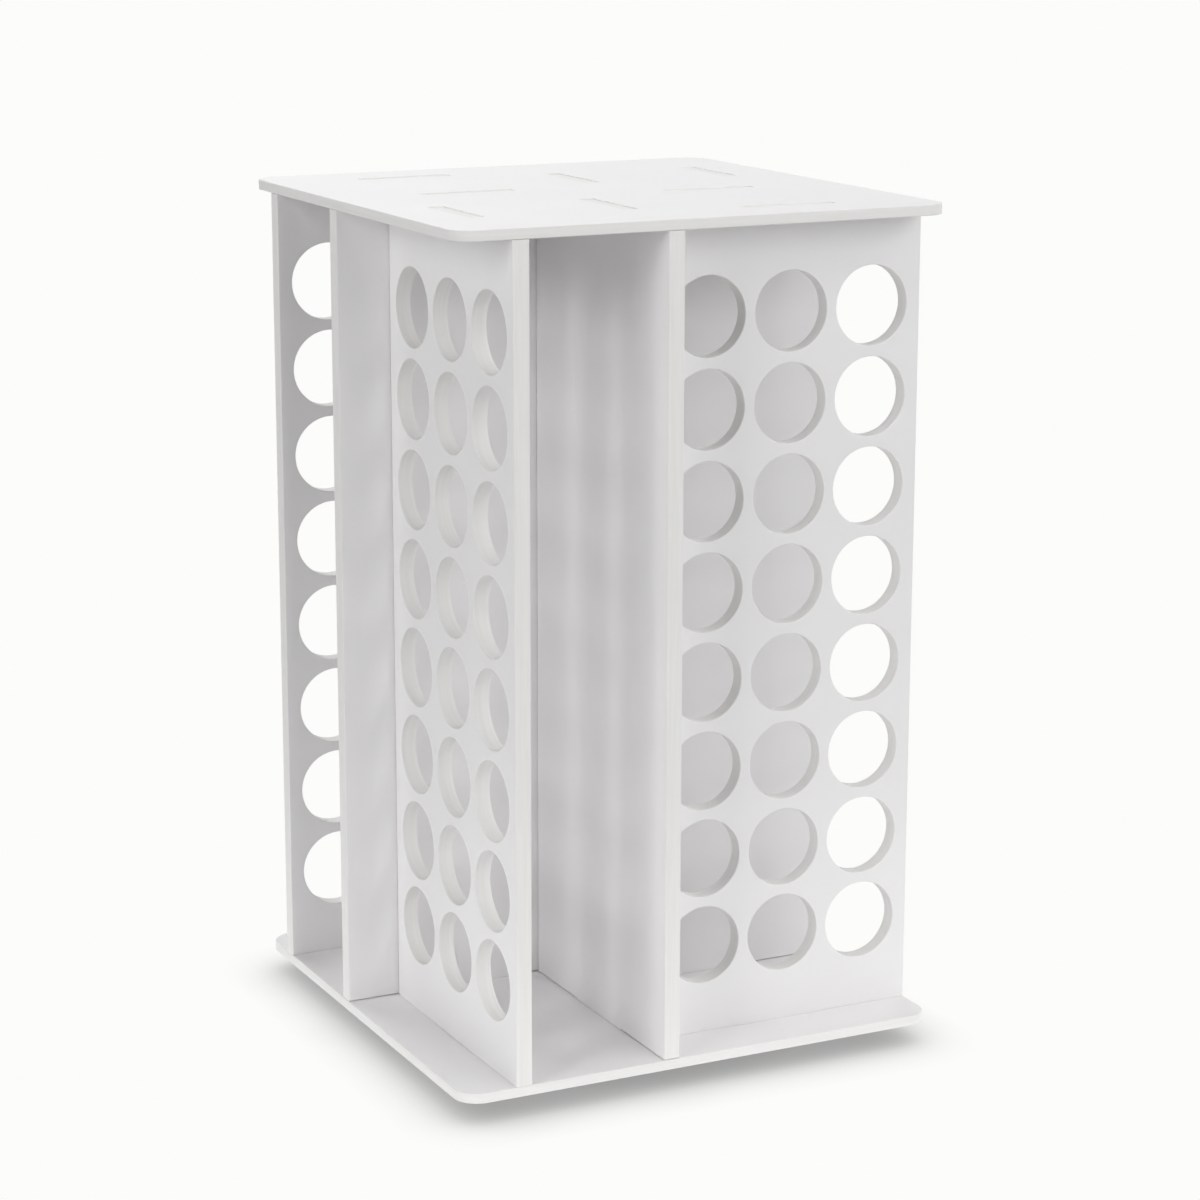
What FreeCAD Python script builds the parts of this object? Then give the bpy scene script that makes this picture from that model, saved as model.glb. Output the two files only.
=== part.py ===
import FreeCAD, Part
import os

import Sketcher

# Storage tower for rolls and hand tools: eight upright boards between two square plates,
# turning on a ball-bearing ring that stands on rubber feet.
# Millimetres, +Z up, origin on the floor under the middle of the tower, front towards -Y.

SIZES = {
    # square plates at the top and the base
    "plate_side": 250,
    "plate_thick": 5,
    "plate_corner": 12,
    # upright boards, all cut to one length and one height
    "board_thick": 8,
    "board_height": 390,
    "core_width": 28,
    "panel_setback": 26.5,
    "joint_gap": 0.3,
    # tabs on the boards and their slots in the plates
    "tab_length": 48,
    "tab_recess": 0.6,
    "slot_play": 0.15,
    # round holes for rolls, as many as fit inside the least margins
    "hole_diameter": 38,
    "hole_web": 5.2,
    "side_margin": 6,
    "end_margin": 24,
    # the two rings of the bearing, one on each side of the ball track
    "ring_width": 14,
    "ring_thick": 8,
    "ring_lift": 1,
    "ring_chamfer": 0.6,
    "ring_gap": 2,
    # balls, their track between the rings and their cage
    "track_diameter": 150,
    "track_play": 0.05,
    "ball_diameter": 4.5,
    "ball_count": 24,
    "cage_thick": 1.2,
    "cage_height": 6.2,
    "pocket_play": 0.1,
    # countersunk screws that hold the inner ring to the base plate
    "screw_count": 4,
    "screw_diameter": 4,
    "screw_head": 8,
    "screw_play": 0.1,
    "screw_skin": 1,
    # rubber feet, plugged into the outer ring
    "foot_count": 6,
    "foot_diameter": 12,
    "foot_height": 2,
    "foot_chamfer": 0.6,
    "peg_diameter": 5,
    "peg_length": 5,
    "peg_play": 0.05,
}

SIDES = ("front", "right", "back", "left")
FIRST_SCREW_ANGLE = 30
FIRST_FOOT_ANGLE = 0
FIRST_BALL_ANGLE = -90

# Heights, as expressions on the sheet
RING_BOTTOM = "Sizes.foot_height"
LIFTED_BOTTOM = f"({RING_BOTTOM} + Sizes.ring_lift)"
BASE_BOTTOM = f"({LIFTED_BOTTOM} + Sizes.ring_thick)"
BASE_TOP = f"({BASE_BOTTOM} + Sizes.plate_thick)"
BOARD_TOP = f"({BASE_TOP} + Sizes.board_height)"
BALL_HEIGHT = f"({RING_BOTTOM} + (Sizes.ring_thick + Sizes.ring_lift) / 2)"

# Boards: each runs from the face that its inner end meets out to the edge of the plates
BOARD_START = "(Sizes.joint_gap - Sizes.core_width / 2)"
BOARD_LENGTH = f"(Sizes.plate_side / 2 - {BOARD_START})"
BOARD_MIDDLE = f"(Sizes.plate_side / 2 - {BOARD_LENGTH} / 2)"
BOARD_MID_HEIGHT = f"({BASE_TOP} + Sizes.board_height / 2)"
PANEL_OUT = "(Sizes.plate_side / 2 - Sizes.panel_setback - Sizes.board_thick / 2)"
DIVIDER_OUT = "(Sizes.core_width / 2 + Sizes.board_thick / 2)"
TAB_HEIGHT = "(Sizes.plate_thick - Sizes.tab_recess)"

# Holes: a square grid, centred on the board
HOLE_PITCH = "(Sizes.hole_diameter + Sizes.hole_web)"
HOLE_COLUMNS = f"floor(({BOARD_LENGTH} - 2 * Sizes.side_margin + Sizes.hole_web) / {HOLE_PITCH})"
HOLE_ROWS = f"floor((Sizes.board_height - 2 * Sizes.end_margin + Sizes.hole_web) / {HOLE_PITCH})"

# Rings: the track lies between them, screws and feet in the middle of each ring's width
INNER_RING_EDGE = "((Sizes.track_diameter - Sizes.ring_gap) / 2)"
INNER_RING_BORE = f"({INNER_RING_EDGE} - Sizes.ring_width)"
OUTER_RING_EDGE = "((Sizes.track_diameter + Sizes.ring_gap) / 2)"
OUTER_RING_RIM = f"({OUTER_RING_EDGE} + Sizes.ring_width)"
SCREW_RADIUS = f"({INNER_RING_EDGE} - Sizes.ring_width / 2)"
FOOT_RADIUS = f"({OUTER_RING_EDGE} + Sizes.ring_width / 2)"
SCREW_BITE = "(Sizes.plate_thick - Sizes.screw_skin)"
SCREW_LENGTH = f"(Sizes.ring_thick + {SCREW_BITE})"
SINK_DEPTH = "((Sizes.screw_head - Sizes.screw_diameter) / 2)"

doc = FreeCAD.newDocument("StorageTower")
sheet = doc.addObject("Spreadsheet::Sheet", "Sizes")
for row, (name, number) in enumerate(SIZES.items(), start=1):
    sheet.set(f"A{row}", str(number))
    sheet.setAlias(f"A{row}", name)
doc.recompute()


def value(text):
    """Work out an expression on the sheet."""
    return float(sheet.evalExpression(text))


def new_body(label):
    """Start a sub-part."""
    body = doc.addObject("PartDesign::Body", label)
    body.Label = label
    return body


def origin_feature(body, role):
    """Find one of a body's own planes or axes."""
    return next(item for item in body.Origin.OriginFeatures if item.Role == role)


def sketch_on(body, name, plane, across="0", up="0", out="0"):
    """Add a sketch on a plane of the body, with its origin moved by sheet expressions."""
    sketch = body.newObject("Sketcher::SketchObject", name)
    sketch.AttachmentSupport = [(origin_feature(body, plane), "")]
    sketch.MapMode = "FlatFace"
    for axis, text in zip("xyz", (across, up, out)):
        sketch.setExpression(f"AttachmentOffset.Base.{axis}", text)
    return sketch


def bind(sketch, kind, points, text):
    """Add a dimension between points of a sketch and bind it to the sheet."""
    index = sketch.addConstraint(Sketcher.Constraint(kind, *points, value(text)))
    sketch.setExpression(f"Constraints[{index}]", text)


def draw_loop(sketch, points):
    """Draw straight lines through the points and back to the first."""
    first = sketch.GeometryCount
    for start, end in zip(points, points[1:] + points[:1]):
        sketch.addGeometry(Part.LineSegment(start, end))
    for line in range(len(points)):
        following = first + (line + 1) % len(points)
        sketch.addConstraint(Sketcher.Constraint("Coincident", first + line, 2, following, 1))


def rectangle(sketch, width, height):
    """Draw a rectangle about the sketch's origin."""
    half_width = value(width) / 2
    half_height = value(height) / 2
    signs = ((-1, -1), (1, -1), (1, 1), (-1, 1))
    draw_loop(sketch, [FreeCAD.Vector(x * half_width, y * half_height) for x, y in signs])
    for line in (0, 2):
        sketch.addConstraint(Sketcher.Constraint("Horizontal", line))
        sketch.addConstraint(Sketcher.Constraint("Vertical", line + 1))
    sketch.addConstraint(Sketcher.Constraint("Symmetric", 0, 1, 1, 2, -1, 1))
    bind(sketch, "DistanceX", (0, 1, 0, 2), width)
    bind(sketch, "DistanceY", (1, 1, 1, 2), height)


def circle(sketch, diameter):
    """Draw a circle about the sketch's origin."""
    ring = Part.Circle(FreeCAD.Vector(), FreeCAD.Vector(0, 0, 1), value(diameter) / 2)
    line = sketch.addGeometry(ring)
    sketch.addConstraint(Sketcher.Constraint("Coincident", line, 3, -1, 1))
    bind(sketch, "Diameter", (line,), diameter)


def profile(sketch, corners):
    """Draw a closed outline through corners given as two expressions each, across and up."""
    draw_loop(sketch, [FreeCAD.Vector(value(across), value(up)) for across, up in corners])
    for line, corner in enumerate(corners):
        for kind, axis, text in zip(("DistanceX", "DistanceY"), (-2, -1), corner):
            if text == "0":
                sketch.addConstraint(Sketcher.Constraint("PointOnObject", line, 1, axis))
            else:
                bind(sketch, kind, (-1, 1, line, 1), text)


def pad(body, name, sketch, length, both_ways=False):
    """Raise a sketch into a solid."""
    feature = body.newObject("PartDesign::Pad", name)
    feature.Profile = sketch
    feature.SideType = "Symmetric" if both_ways else "One side"
    feature.setExpression("Length", length)
    return feature


def pocket(body, name, sketch, length=None):
    """Cut a sketch into the solid: right through, or to a length on the far side of the sketch."""
    before = body.Shape.Volume
    feature = body.newObject("PartDesign::Pocket", name)
    feature.Profile = sketch
    if length is None:
        feature.SideType = "Symmetric"
        feature.Type = "ThroughAll"
    else:
        feature.Reversed = True
        feature.setExpression("Length", length)
    doc.recompute()
    if feature.Shape.Volume >= before:
        raise RuntimeError(f"{name} in {body.Label} cuts nothing")
    return feature


def revolve(body, name, sketch, kind="PartDesign::Revolution"):
    """Turn a sketch about the body's upright axis, to add or to cut."""
    feature = body.newObject(kind, name)
    feature.Profile = sketch
    feature.ReferenceAxis = (origin_feature(body, "Z_Axis"), [""])
    feature.Angle = 360
    return feature


def polar(body, name, features, count):
    """Repeat features evenly about the body's upright axis."""
    pattern = body.newObject("PartDesign::PolarPattern", name)
    pattern.Originals = features
    pattern.Axis = (origin_feature(body, "Z_Axis"), [""])
    pattern.Angle = 360
    pattern.setExpression("Occurrences", f"floor({count})")
    body.Tip = pattern
    return pattern


def even_angles(count, first):
    """Angles of a number of pieces spread evenly round the axis."""
    total = int(sheet.get(count))
    return [first + 360 / total * number for number in range(total)]


def place(item, radius, angle, height):
    """Put a sub-part on a circle about the tower's axis."""
    item.setExpression("Placement.Base.x", f"{radius} * cos({angle})")
    item.setExpression("Placement.Base.y", f"{radius} * sin({angle})")
    item.setExpression("Placement.Base.z", height)


def make_plate(label, bottom):
    """A square plate with rounded corners and a slot for every board's tab."""
    body = new_body(label)
    outline = sketch_on(body, f"{label}_outline", "XY_Plane", out=bottom)
    rectangle(outline, "Sizes.plate_side", "Sizes.plate_side")
    slab = pad(body, f"{label}_slab", outline, "Sizes.plate_thick")
    doc.recompute()
    upright = [
        f"Edge{number}" for number, edge in enumerate(slab.Shape.Edges, start=1)
        if abs(edge.tangentAt(edge.FirstParameter).z) > 0.5
    ]
    corners = body.newObject("PartDesign::Fillet", f"{label}_corners")
    corners.Base = (slab, upright)
    corners.setExpression("Radius", "Sizes.plate_corner")
    doc.recompute()
    slots = []
    for board, out in (("panel", PANEL_OUT), ("divider", DIVIDER_OUT)):
        name = f"{label}_{board}_slot"
        sketch = sketch_on(body, f"{name}_outline", "XY_Plane", BOARD_MIDDLE, f"-{out}", bottom)
        length = "Sizes.tab_length + 2 * Sizes.slot_play"
        rectangle(sketch, length, "Sizes.board_thick + 2 * Sizes.slot_play")
        slots.append(pocket(body, name, sketch))
    polar(body, f"{label}_slots", slots, str(len(SIDES)))
    doc.recompute()
    return body


def make_base_plate():
    """The base plate also has blind holes underneath for the ring's screws."""
    body = make_plate("base_plate", BASE_BOTTOM)
    start = FIRST_SCREW_ANGLE
    across, up = (f"{SCREW_RADIUS} * {turn}({start})" for turn in ("cos", "sin"))
    sketch = sketch_on(body, "screw_hole_outline", "XY_Plane", across, up, BASE_BOTTOM)
    circle(sketch, "Sizes.screw_diameter + 2 * Sizes.screw_play")
    hole = pocket(body, "screw_hole", sketch, f"{SCREW_BITE} + Sizes.screw_play")
    polar(body, "screw_holes", [hole], "Sizes.screw_count")
    return body


def make_board(label, quarter_turns, out, holed):
    """An upright board with a tab at each end, drawn at the front and turned to its side."""
    body = new_body(label)
    shape = (BOARD_MIDDLE, BOARD_MID_HEIGHT, out)
    outline = sketch_on(body, f"{label}_outline", "XZ_Plane", *shape)
    rectangle(outline, BOARD_LENGTH, "Sizes.board_height")
    pad(body, f"{label}_sheet", outline, "Sizes.board_thick", both_ways=True)
    tongue = sketch_on(body, f"{label}_tab_outline", "XZ_Plane", *shape)
    rectangle(tongue, "Sizes.tab_length", f"Sizes.board_height + 2 * {TAB_HEIGHT}")
    pad(body, f"{label}_tabs", tongue, "Sizes.board_thick", both_ways=True)
    doc.recompute()
    if holed:
        first_across = f"{BOARD_MIDDLE} - ({HOLE_COLUMNS} - 1) / 2 * {HOLE_PITCH}"
        first_up = f"{BOARD_MID_HEIGHT} - ({HOLE_ROWS} - 1) / 2 * {HOLE_PITCH}"
        sketch = sketch_on(body, f"{label}_hole_outline", "XZ_Plane", first_across, first_up, out)
        circle(sketch, "Sizes.hole_diameter")
        hole = pocket(body, f"{label}_hole", sketch)
        grid = body.newObject("PartDesign::LinearPattern", f"{label}_holes")
        grid.Originals = [hole]
        grid.Direction = (origin_feature(body, "X_Axis"), [""])
        grid.Direction2 = (origin_feature(body, "Z_Axis"), [""])
        grid.setExpression("Occurrences", HOLE_COLUMNS)
        grid.setExpression("Occurrences2", HOLE_ROWS)
        grid.setExpression("Length", f"({HOLE_COLUMNS} - 1) * {HOLE_PITCH}")
        grid.setExpression("Length2", f"({HOLE_ROWS} - 1) * {HOLE_PITCH}")
        body.Tip = grid
    body.Placement.Rotation = FreeCAD.Rotation(FreeCAD.Vector(0, 0, 1), 90 * quarter_turns)
    return body


def make_ring(label, inside, outside, bottom):
    """A flat ring with chamfered edges and half of the ball track."""
    body = new_body(label)
    top = f"{bottom} + Sizes.ring_thick"
    chamfer = "Sizes.ring_chamfer"
    section = sketch_on(body, f"{label}_section", "XZ_Plane")
    profile(section, [
        (f"{inside} + {chamfer}", bottom),
        (f"{outside} - {chamfer}", bottom),
        (outside, f"{bottom} + {chamfer}"),
        (outside, f"{top} - {chamfer}"),
        (f"{outside} - {chamfer}", top),
        (f"{inside} + {chamfer}", top),
        (inside, f"{top} - {chamfer}"),
        (inside, f"{bottom} + {chamfer}"),
    ])
    revolve(body, f"{label}_blank", section)
    doc.recompute()
    before = body.Shape.Volume
    track = sketch_on(body, f"{label}_track_section", "XZ_Plane", "Sizes.track_diameter / 2", BALL_HEIGHT)
    circle(track, "Sizes.ball_diameter + 2 * Sizes.track_play")
    revolve(body, f"{label}_track", track, "PartDesign::Groove")
    doc.recompute()
    if body.Shape.Volume >= before:
        raise RuntimeError(f"the track in {label} cuts nothing")
    return body


def make_outer_ring():
    """The standing ring, with a through hole for each foot's peg."""
    body = make_ring("swivel_outer_ring", OUTER_RING_EDGE, OUTER_RING_RIM, RING_BOTTOM)
    sketch = sketch_on(body, "peg_hole_outline", "XY_Plane", FOOT_RADIUS, "0", RING_BOTTOM)
    circle(sketch, "Sizes.peg_diameter + 2 * Sizes.peg_play")
    hole = pocket(body, "peg_hole", sketch)
    polar(body, "peg_holes", [hole], "Sizes.foot_count")
    return body


def make_inner_ring():
    """The turning ring, with countersunk holes for its screws."""
    body = make_ring("swivel_inner_ring", INNER_RING_BORE, INNER_RING_EDGE, LIFTED_BOTTOM)
    start = FIRST_SCREW_ANGLE
    across, up = (f"{SCREW_RADIUS} * {turn}({start})" for turn in ("cos", "sin"))
    bore = sketch_on(body, "ring_bore_outline", "XY_Plane", across, up, LIFTED_BOTTOM)
    circle(bore, "Sizes.screw_diameter + 2 * Sizes.screw_play")
    hole = pocket(body, "ring_bore", bore)
    mouth = sketch_on(body, "countersink_outline", "XY_Plane", across, up, LIFTED_BOTTOM)
    circle(mouth, "Sizes.screw_head + 2 * Sizes.screw_play")
    sink = pocket(body, "countersink", mouth, SINK_DEPTH)
    sink.TaperAngle = -45
    polar(body, "ring_screw_holes", [hole, sink], "Sizes.screw_count")
    return body


def make_cage():
    """A thin ring that keeps the balls apart."""
    body = new_body("ball_cage")
    half_height = "Sizes.cage_height / 2"
    inside = "(Sizes.track_diameter - Sizes.cage_thick)"
    outline = sketch_on(body, "cage_outline", "XY_Plane", out=f"{BALL_HEIGHT} - {half_height}")
    circle(outline, f"{inside} + 2 * Sizes.cage_thick")
    circle(outline, inside)
    pad(body, "cage_band", outline, "Sizes.cage_height")
    doc.recompute()
    window = sketch_on(body, "ball_pocket_outline", "XZ_Plane", up=BALL_HEIGHT)
    circle(window, "Sizes.ball_diameter + 2 * Sizes.pocket_play")
    ball_pocket = pocket(body, "ball_pocket", window, "Sizes.track_diameter")
    polar(body, "ball_pockets", [ball_pocket], "Sizes.ball_count")
    return body


def make_balls():
    """Loose balls in the track, one in each pocket of the cage."""
    balls = []
    for number, angle in enumerate(even_angles("ball_count", FIRST_BALL_ANGLE), start=1):
        ball = doc.addObject("Part::Sphere", f"ball_{number}")
        ball.setExpression("Radius", "Sizes.ball_diameter / 2")
        place(ball, "Sizes.track_diameter / 2", angle, BALL_HEIGHT)
        balls.append(ball)
    group = doc.addObject("Part::Compound", "bearing_balls")
    group.Label = "bearing_balls"
    group.Links = balls
    return group


def make_screw(number, angle):
    """A countersunk screw, its head flush with the bottom of the inner ring."""
    body = new_body(f"swivel_screw_{number}")
    section = sketch_on(body, f"screw_{number}_section", "XZ_Plane")
    shank = "Sizes.screw_diameter / 2"
    profile(section, [
        ("0", "0"),
        ("Sizes.screw_head / 2", "0"),
        (shank, SINK_DEPTH),
        (shank, SCREW_LENGTH),
        ("0", SCREW_LENGTH),
    ])
    revolve(body, f"screw_{number}_turned", section)
    place(body, SCREW_RADIUS, angle, LIFTED_BOTTOM)
    return body


def make_foot(number, angle):
    """A rubber foot: a low disc with a peg that plugs into the outer ring."""
    body = new_body(f"rubber_foot_{number}")
    section = sketch_on(body, f"foot_{number}_section", "XZ_Plane")
    rim = "Sizes.foot_diameter / 2"
    peg = "Sizes.peg_diameter / 2"
    peg_top = "Sizes.foot_height + Sizes.peg_length"
    profile(section, [
        ("0", "0"),
        (f"{rim} - Sizes.foot_chamfer", "0"),
        (rim, "Sizes.foot_chamfer"),
        (rim, "Sizes.foot_height"),
        (peg, "Sizes.foot_height"),
        (peg, peg_top),
        ("0", peg_top),
    ])
    revolve(body, f"foot_{number}_moulded", section)
    place(body, FOOT_RADIUS, angle, "0")
    return body


def write_parts(nodes):
    """Check every object, then write each sub-part to its own file."""
    doc.recompute()
    for item in doc.Objects:
        if "Invalid" in item.State or "Error" in item.State:
            raise RuntimeError(f"{item.Name} failed: {item.State}")
    for node in nodes:
        if node.Shape.isNull() or not node.Shape.isValid():
            raise RuntimeError(f"{node.Label} has no valid shape")
    os.makedirs("parts", exist_ok=True)
    for node in nodes:
        node.Shape.exportStep(f"parts/{node.Label}.step")
        print(f"{node.Label}: {len(node.Shape.Solids)} solid(s), {node.Shape.Volume:.0f} mm3")


nodes = [make_base_plate(), make_plate("top_plate", BOARD_TOP)]
for turns, side in enumerate(SIDES):
    nodes.append(make_board(f"roll_panel_{side}", turns, PANEL_OUT, holed=True))
    nodes.append(make_board(f"divider_{side}", turns, DIVIDER_OUT, holed=False))
nodes += [make_outer_ring(), make_inner_ring(), make_cage(), make_balls()]
for number, angle in enumerate(even_angles("screw_count", FIRST_SCREW_ANGLE), start=1):
    nodes.append(make_screw(number, angle))
for number, angle in enumerate(even_angles("foot_count", FIRST_FOOT_ANGLE), start=1):
    nodes.append(make_foot(number, angle))
write_parts(nodes)
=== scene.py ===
"""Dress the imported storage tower: foam boards, square plates and the ball ring they turn on.

Metres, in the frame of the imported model: +Z up, front towards -Y, origin on the floor under the axis.
"""

from __future__ import annotations

import logging
import math
from dataclasses import dataclass
from enum import Enum
from typing import Callable, Iterable

import bmesh
import bpy
from bmesh.types import BMEdge, BMesh, BMFace, BMVert
from mathutils import Matrix, Vector


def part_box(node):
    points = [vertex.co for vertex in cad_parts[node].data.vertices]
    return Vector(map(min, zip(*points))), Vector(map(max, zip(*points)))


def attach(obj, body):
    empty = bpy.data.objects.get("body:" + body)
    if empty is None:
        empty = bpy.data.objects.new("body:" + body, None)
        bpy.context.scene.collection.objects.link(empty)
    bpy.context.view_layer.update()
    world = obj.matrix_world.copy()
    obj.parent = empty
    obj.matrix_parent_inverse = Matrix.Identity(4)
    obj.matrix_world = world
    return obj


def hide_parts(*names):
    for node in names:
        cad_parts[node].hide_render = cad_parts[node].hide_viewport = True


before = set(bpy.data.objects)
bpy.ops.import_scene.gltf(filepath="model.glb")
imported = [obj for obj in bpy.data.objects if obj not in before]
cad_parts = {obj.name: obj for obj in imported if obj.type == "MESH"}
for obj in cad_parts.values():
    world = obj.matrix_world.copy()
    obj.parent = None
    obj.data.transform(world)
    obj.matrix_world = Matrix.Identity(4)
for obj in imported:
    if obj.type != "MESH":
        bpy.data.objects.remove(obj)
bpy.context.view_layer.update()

LOG = logging.getLogger("storage_tower")
SHEET_SPACE = "sheet_space"
MM = 0.001

# What counts as one point, as a corner to ease, as a sharp edge and as a flat face.
WELD = 1e-6
WELD_DECIMALS = 6
CORNER_ANGLE = math.radians(60)
SHARP_ANGLE = math.radians(50)
FLATNESS = 0.9
EASING_STEPS = 2

# The range that a noise mostly stays in, how fine each pattern is, and the foam board's gloss.
NOISE_LOW = 0.3
NOISE_HIGH = 0.7
CLOUDS_PER_METRE = 18.0
GRAINS_PER_METRE = 900.0
CUTTER_LINES_PER_METRE = (25.0, 25.0, 650.0)
CELLS_PER_METRE = 2600.0
RINGS_PER_METRE = 2200.0
FOAM_BOARD_IOR = 1.46

Colour = tuple[float, float, float]
Point = tuple[float, float, float]


class Side(Enum):
    """The four sides of the tower, numbered by their quarter turns from the front."""

    FRONT = 0
    RIGHT = 1
    BACK = 2
    LEFT = 3

    @property
    def label(self) -> str:
        """The side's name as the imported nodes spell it."""
        return self.name.lower()

    @property
    def turn(self) -> Matrix:
        """The turn that carries a front board to this side."""
        return Matrix.Rotation(self.value * math.pi / 2, 4, "Z")


class BoardKind(Enum):
    """The two kinds of upright board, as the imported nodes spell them."""

    ROLL_PANEL = "roll_panel"
    DIVIDER = "divider"

    def node(self, side: Side) -> str:
        """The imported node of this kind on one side."""
        return f"{self.value}_{side.label}"


class Axis(Enum):
    """The two directions in the plane of a flat sheet."""

    ALONG = 0
    ACROSS = 1


class Surface(Enum):
    """Material places on a cut sheet, in the order of its material slots."""

    SKIN = 0
    EDGE = 1


class Body(Enum):
    """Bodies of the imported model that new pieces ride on."""

    STAND = "stand"
    TOWER = "tower"


class NodePlan:
    """Short-hand for filling one node tree."""

    def __init__(self, tree: bpy.types.NodeTree) -> None:
        """Take over a tree and empty it.

        Args:
            tree: The node tree of a material, a world or a group.
        """
        self.tree = tree
        tree.nodes.clear()

    def add(self, kind: str, **settings: object) -> bpy.types.Node:
        """Add a node.

        Args:
            kind: The node's type name.
            settings: Properties to set on it.

        Returns:
            The new node.
        """
        node = self.tree.nodes.new(kind)
        for name, value in settings.items():
            setattr(node, name, value)
        return node

    def link(self, source: bpy.types.NodeSocket, target: bpy.types.NodeSocket) -> None:
        """Join an output to an input."""
        self.tree.links.new(source, target)

    def math(self, operation: str, first: object, second: object) -> bpy.types.NodeSocket:
        """Add a Math node.

        Args:
            operation: The node's operation.
            first: A socket or a number.
            second: A socket or a number.

        Returns:
            The node's output.
        """
        node = self.add("ShaderNodeMath", operation=operation)
        for socket, value in zip(node.inputs, (first, second)):
            if isinstance(value, bpy.types.NodeSocket):
                self.link(value, socket)
            else:
                socket.default_value = value
        return node.outputs["Value"]

    def noise(self, vector: bpy.types.NodeSocket, scale: float, detail: float) -> bpy.types.NodeSocket:
        """Add a noise texture.

        Args:
            vector: Where the noise is read.
            scale: Features per metre.
            detail: Octaves of finer noise.

        Returns:
            The noise's value.
        """
        node = self.add("ShaderNodeTexNoise")
        node.inputs["Scale"].default_value = scale
        node.inputs["Detail"].default_value = detail
        self.link(vector, node.inputs["Vector"])
        return node.outputs["Fac"]

    def spread(self, value: bpy.types.NodeSocket, low: float, high: float) -> bpy.types.NodeSocket:
        """Map a noise's usual range to a range of values.

        Args:
            value: A noise, which mostly stays between NOISE_LOW and NOISE_HIGH.
            low: The result at NOISE_LOW.
            high: The result at NOISE_HIGH.

        Returns:
            The mapped value.
        """
        node = self.add("ShaderNodeMapRange")
        limits = (("From Min", NOISE_LOW), ("From Max", NOISE_HIGH), ("To Min", low), ("To Max", high))
        for name, number in limits:
            node.inputs[name].default_value = number
        self.link(value, node.inputs["Value"])
        return node.outputs["Result"]

    def ramp(self, value: bpy.types.NodeSocket, low: Colour, high: Colour) -> bpy.types.NodeSocket:
        """Blend between two colours over a noise's usual range.

        Args:
            value: A noise, which mostly stays between NOISE_LOW and NOISE_HIGH.
            low: The colour at NOISE_LOW or less.
            high: The colour at NOISE_HIGH or more.

        Returns:
            The blended colour.
        """
        node = self.add("ShaderNodeValToRGB")
        stops = zip(node.color_ramp.elements, (NOISE_LOW, NOISE_HIGH), (low, high))
        for stop, place, colour in stops:
            stop.position = place
            stop.color = (*colour, 1.0)
        self.link(value, node.inputs["Fac"])
        return node.outputs["Color"]

    def bump(self, height: bpy.types.NodeSocket, depth: float) -> bpy.types.NodeSocket:
        """Add a Bump node.

        Args:
            height: The height field.
            depth: The height of a full step, in metres.

        Returns:
            The bent normal.
        """
        node = self.add("ShaderNodeBump")
        node.inputs["Distance"].default_value = depth
        self.link(height, node.inputs["Height"])
        return node.outputs["Normal"]


@dataclass(frozen=True)
class SurfaceGroup:
    """A shader node group that several finishes share."""

    name: str
    inputs: tuple[tuple[str, str], ...]
    outputs: tuple[tuple[str, str], ...]
    fill: Callable[[NodePlan, bpy.types.Node, bpy.types.Node], None]

    def tree(self) -> bpy.types.NodeTree:
        """Build the group, or find it if it is there already.

        Returns:
            The group's node tree.
        """
        made = bpy.data.node_groups.get(self.name)
        if made:
            return made
        tree = bpy.data.node_groups.new(self.name, "ShaderNodeTree")
        for way, sockets in (("INPUT", self.inputs), ("OUTPUT", self.outputs)):
            for name, kind in sockets:
                tree.interface.new_socket(name=name, in_out=way, socket_type=f"NodeSocket{kind}")
        plan = NodePlan(tree)
        self.fill(plan, plan.add("NodeGroupInput"), plan.add("NodeGroupOutput"))
        return tree

    def place(self, plan: NodePlan, vector: bpy.types.NodeSocket) -> bpy.types.Node:
        """Put the group into a material.

        Args:
            plan: The material's nodes.
            vector: The coordinates that the group reads.

        Returns:
            The group's node.
        """
        node = plan.add("ShaderNodeGroup", node_tree=self.tree())
        plan.link(vector, node.inputs["Vector"])
        return node


def fill_mottle(plan: NodePlan, source: bpy.types.Node, target: bpy.types.Node) -> None:
    """Soft clouds about 5 cm wide, and a grain as fine as the skin's own.

    Args:
        plan: The group's nodes.
        source: The group's input node.
        target: The group's output node.
    """
    vector = source.outputs["Vector"]
    plan.link(plan.noise(vector, CLOUDS_PER_METRE, detail=2.0), target.inputs["Cloud"])
    plan.link(plan.noise(vector, GRAINS_PER_METRE, detail=3.0), target.inputs["Grain"])


def fill_layers(plan: NodePlan, source: bpy.types.Node, target: bpy.types.Node) -> None:
    """Lines that a cutter leaves along a sheet's edge, and the cells of its core.

    Args:
        plan: The group's nodes.
        source: The group's input node.
        target: The group's output node.
    """
    stretch = plan.add("ShaderNodeMapping")
    stretch.inputs["Scale"].default_value = CUTTER_LINES_PER_METRE
    plan.link(source.outputs["Vector"], stretch.inputs["Vector"])
    plan.link(plan.noise(stretch.outputs["Vector"], 1.0, detail=3.0), target.inputs["Streak"])
    plan.link(plan.noise(source.outputs["Vector"], CELLS_PER_METRE, detail=1.0), target.inputs["Cells"])


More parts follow.
